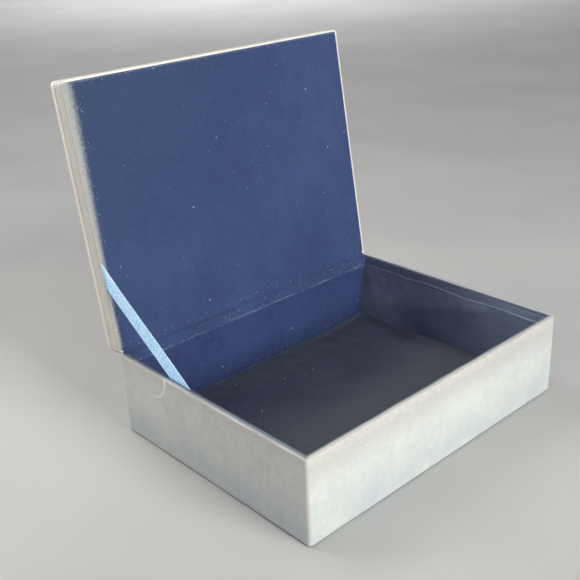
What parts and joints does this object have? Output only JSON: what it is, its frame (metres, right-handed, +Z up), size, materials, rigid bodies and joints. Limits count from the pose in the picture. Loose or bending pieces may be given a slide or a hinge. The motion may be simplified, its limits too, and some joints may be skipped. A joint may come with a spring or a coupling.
{
  "type": "drafting instrument case",
  "caption": "Shallow hinged case with a thick flat lid, silver paper outside and navy velvet inside, the lid held open by a ribbon stay.",
  "frame": {"origin": "middle of the underside, on the face that the case stands on", "axes": "+X along the case's width, from the ribbon's side to the plain side; +Y from the front wall to the hinge; +Z up from the base to the rim"},
  "size_m": [0.24, 0.2207, 0.2367],
  "materials": {
    "silver_paper": "silvery off-white covering paper, faintly mottled, soft sheen",
    "greyboard": "raw board, matte",
    "kraft_paper": "gummed brown paper, matte",
    "base_paper": "plain lining paper, matte",
    "navy_velvet": "short-pile velvet with a blue sheen",
    "wadding": "loose white wadding",
    "blue_ribbon": "flat woven ribbon, slight sheen"
  },
  "bodies": {
    "tray": {"tray_base_sheet": "base_paper", "tray_base_board": "greyboard", "tray_board_front": "greyboard", "tray_board_back": "greyboard", "tray_board_left": "greyboard", "tray_board_right": "greyboard", "liner_card_front": "greyboard", "liner_card_back": "greyboard", "liner_card_left": "greyboard", "liner_card_right": "greyboard", "floor_card": "greyboard", "corner_stay_front_left": "kraft_paper", "corner_stay_front_right": "kraft_paper", "corner_stay_back_left": "kraft_paper", "corner_stay_back_right": "kraft_paper", "tray_cover_paper": "silver_paper", "hinge_spine_strip": "silver_paper", "rim_lining_front": "navy_velvet", "rim_lining_left": "navy_velvet", "rim_lining_right": "navy_velvet", "liner_velvet_front": "navy_velvet", "liner_velvet_back": "navy_velvet", "liner_velvet_left": "navy_velvet", "liner_velvet_right": "navy_velvet", "floor_velvet": "navy_velvet", "hinge_lining": "navy_velvet", "floor_wadding": "wadding", "stay_ribbon": "blue_ribbon"},
    "lid": {"lid_cover_paper": "silver_paper", "lid_cover_board": "greyboard", "lid_side_front": "greyboard", "lid_side_back": "greyboard", "lid_side_left": "greyboard", "lid_side_right": "greyboard", "lid_rail_front": "greyboard", "lid_rail_back": "greyboard", "lid_rail_left": "greyboard", "lid_rail_right": "greyboard", "lid_panel_card": "greyboard", "lid_panel_velvet": "navy_velvet", "lid_panel_wadding": "wadding"}
  },
  "joints": [
    {"name": "lid_hinge", "type": "hinge", "parent": "tray", "child": "lid", "pos_m": [0, 0.09, 0.05875], "axis": [1, 0, 0], "range_deg": [0, 98.5], "deforming": ["hinge_spine_strip", "hinge_lining", "stay_ribbon"]}
  ]
}
